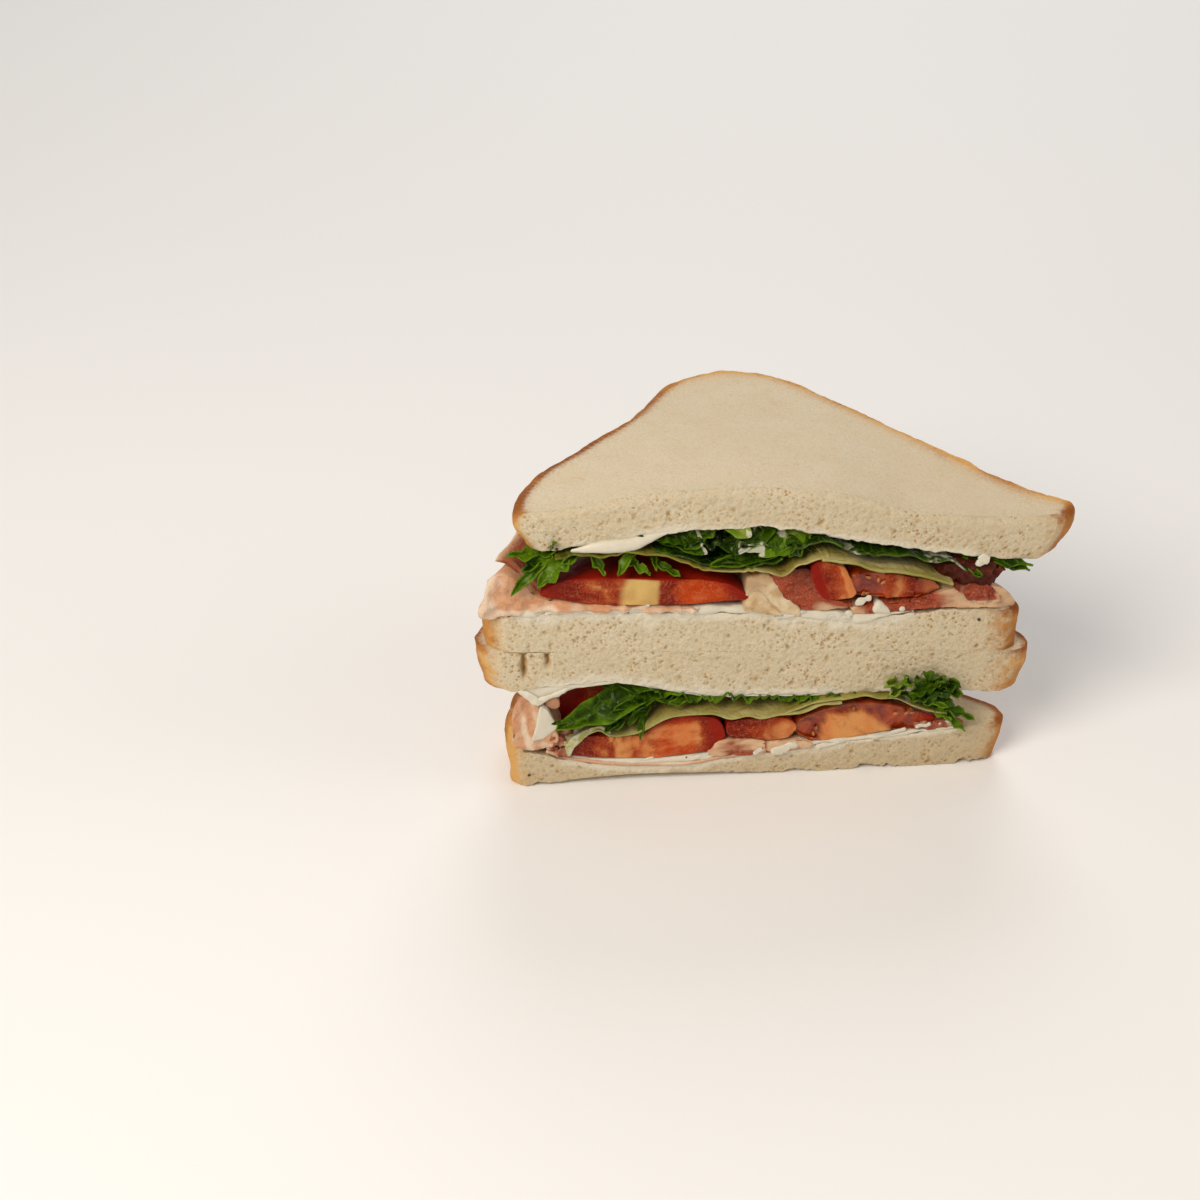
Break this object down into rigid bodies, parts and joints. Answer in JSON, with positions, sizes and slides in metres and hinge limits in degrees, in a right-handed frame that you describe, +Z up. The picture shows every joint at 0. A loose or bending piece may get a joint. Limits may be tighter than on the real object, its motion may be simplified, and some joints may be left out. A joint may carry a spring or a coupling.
{
  "type": "blt sandwich half",
  "caption": "Half of a double-decker bacon, lettuce and tomato sandwich on white bread, cut corner to corner, with ham, turkey and mayonnaise.",
  "frame": {"origin": "centre of the footprint, on the surface the sandwich stands on", "axes": "+X along the cut, +Y from the cut face back to the loaf's corner, +Z up"},
  "size_m": [0.173, 0.0885, 0.1011],
  "materials": {
    "bread": "soft white crumb with a golden brown crust",
    "ham": "moist cured ham with pale fat",
    "bacon": "moist streaky bacon",
    "turkey": "moist sliced roast turkey",
    "tomato": "wet tomato flesh, seeds in gel and glossy skin",
    "lettuce": "crisp frilled green leaf with a waxy gloss",
    "pale_leaf": "pale inner leaf and rib",
    "mayonnaise": "smooth wet mayonnaise"
  },
  "bodies": {
    "root": {"bread_bottom": "bread", "bread_lower_middle": "bread", "bread_upper_middle": "bread", "bread_top": "bread", "ham_lower_base": "ham", "mayonnaise_lower_base": "mayonnaise", "ham_lower_left": "ham", "tomato_lower_left": "tomato", "tomato_lower_back": "tomato", "bacon_lower_middle": "bacon", "tomato_lower_right": "tomato", "bacon_lower_right": "bacon", "leaf_lower_pale": "pale_leaf", "leaf_lower_dark": "lettuce", "leaf_lower_thin": "lettuce", "lettuce_lower_right": "lettuce", "mayonnaise_lower": "mayonnaise", "mayonnaise_upper_base": "mayonnaise", "ham_upper_left": "ham", "bacon_upper_left": "bacon", "tomato_upper_left": "tomato", "turkey_upper": "turkey", "bacon_upper_middle": "bacon", "bacon_upper_right": "bacon", "tomato_upper_right": "tomato", "bacon_upper_end": "bacon", "leaf_upper_left": "pale_leaf", "lettuce_upper_left": "lettuce", "lettuce_upper_middle": "lettuce", "leaf_upper_pale": "pale_leaf", "leaf_upper_right": "lettuce", "lettuce_upper_right": "lettuce", "mayonnaise_upper": "mayonnaise"}
  },
  "joints": []
}
